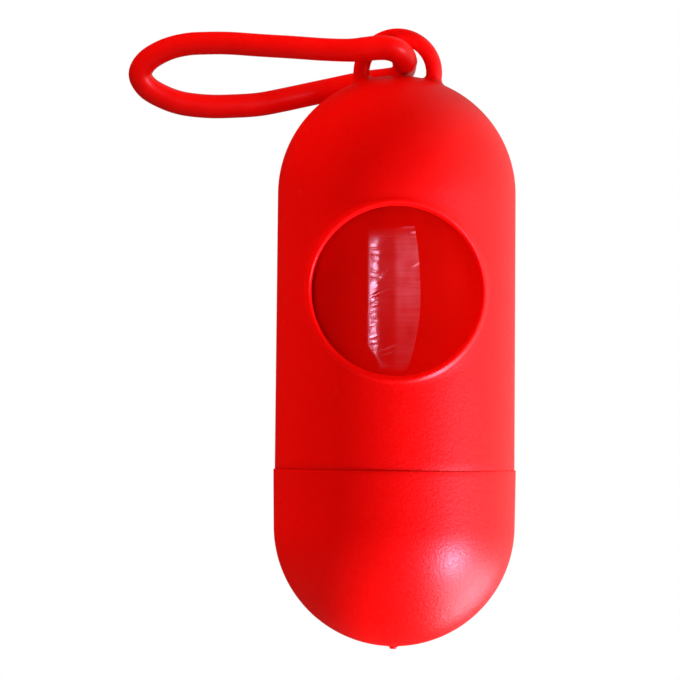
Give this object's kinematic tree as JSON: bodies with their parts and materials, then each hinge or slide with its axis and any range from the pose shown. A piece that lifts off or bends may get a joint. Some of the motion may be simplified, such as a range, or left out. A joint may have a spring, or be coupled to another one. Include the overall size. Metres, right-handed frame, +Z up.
{
  "type": "pet waste bag dispenser",
  "caption": "Pill-shaped bag dispenser with a screw-on end cap, a round window onto the roll, and a soft loop through a moulded bail.",
  "frame": {"origin": "centre of the bail's eye, halfway between the top of the dome and the bail's arch", "axes": "+Z up along the capsule from the end cap to the bail, -Y out of the window, -X the side that the loop lies to"},
  "size_m": [0.0579, 0.0362, 0.0922],
  "materials": {
    "barrel_shell": "moulded polypropylene, red, fine matte texture",
    "cap_shell": "moulded polypropylene, red, fine matte texture",
    "strap": "soft moulded thermoplastic rubber, red, satin",
    "card": "spiral-wound brown card",
    "film_web": "tightly wound thin polyethylene film, red",
    "film_outer": "thin polyethylene film, red, glossy and creased"
  },
  "bodies": {
    "barrel": {"barrel": "barrel_shell"},
    "core": {"roll_core": "card"},
    "cap": {"end_cap": "cap_shell"},
    "film": {"bag_roll": "film_web", "leading_bag": "film_outer"},
    "strap": {"strap_loop": "strap"}
  },
  "joints": [
    {"name": "cap_travel", "type": "slide", "parent": "barrel", "child": "core", "axis": [0, 0, -1], "range_m": [0, 0.00525]},
    {"name": "cap_turn", "type": "hinge", "parent": "core", "child": "cap", "pos_m": [0, 0, -0.065], "axis": [0, 0, -1], "range_deg": [0, 630]},
    {"name": "roll_spin", "type": "hinge", "parent": "core", "child": "film", "pos_m": [0, 0, -0.048], "axis": [0, 0, 1], "continuous": true},
    {"name": "strap_swing", "type": "hinge", "parent": "barrel", "child": "strap", "pos_m": [0.001, 0, -0.0003], "axis": [0, 1, 0], "range_deg": [0, 120]}
  ],
  "couplings": [
    {"joint": "cap_turn", "follows": "cap_travel", "rad_per_m": 2094.4}
  ]
}
